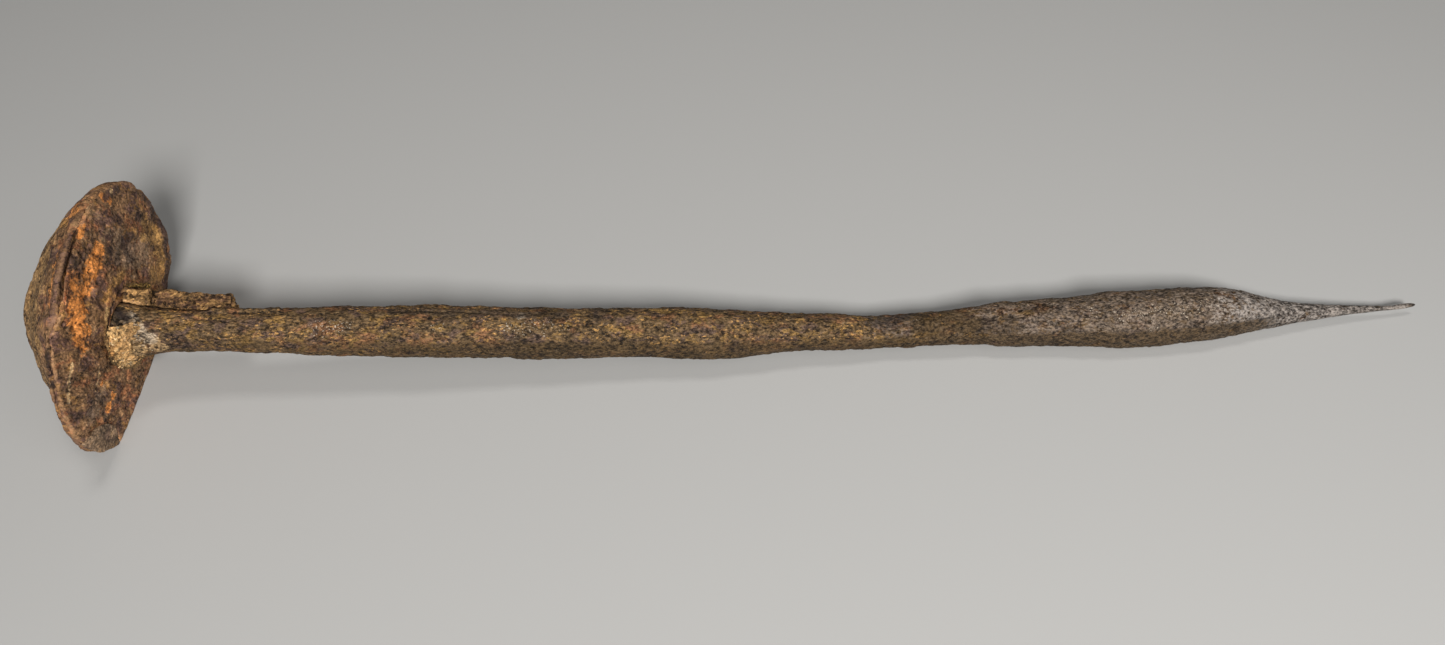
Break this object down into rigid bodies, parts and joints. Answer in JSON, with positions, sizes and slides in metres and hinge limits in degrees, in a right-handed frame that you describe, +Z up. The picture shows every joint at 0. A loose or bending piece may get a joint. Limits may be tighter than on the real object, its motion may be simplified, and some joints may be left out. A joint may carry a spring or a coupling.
{
  "type": "dome-headed drift spike",
  "caption": "Long round forged-iron drift spike with a broad domed head, wasted waist, thick belly and drawn needle point, heavily rusted and scaled, lying on its side.",
  "frame": {"origin": "middle of the lying spike's bounding box, on the surface that it lies on", "axes": "+X along the bar from the head to the point, +Z up, +Y across the bar, to the side of the scale strip"},
  "size_m": [0.5274, 0.096, 0.0847],
  "materials": {
    "bar_iron": "rusted iron, brown with ochre flecks",
    "crown_iron": "rusted iron, laminated brown",
    "face_iron": "rusted iron, brown with orange bloom",
    "spall_iron": "smooth grey-brown rust",
    "scale": "flaking iron scale",
    "tan_crust": "sandy tan concretion",
    "yellow_crust": "ochre-yellow rust crust"
  },
  "bodies": {
    "root": {"shank": "bar_iron", "head_crown": "crown_iron", "head_face": "face_iron", "rim_spall": "spall_iron", "scale_block": "scale", "scale_strip": "scale", "root_crust": "tan_crust", "crest_crust": "yellow_crust"}
  },
  "joints": []
}
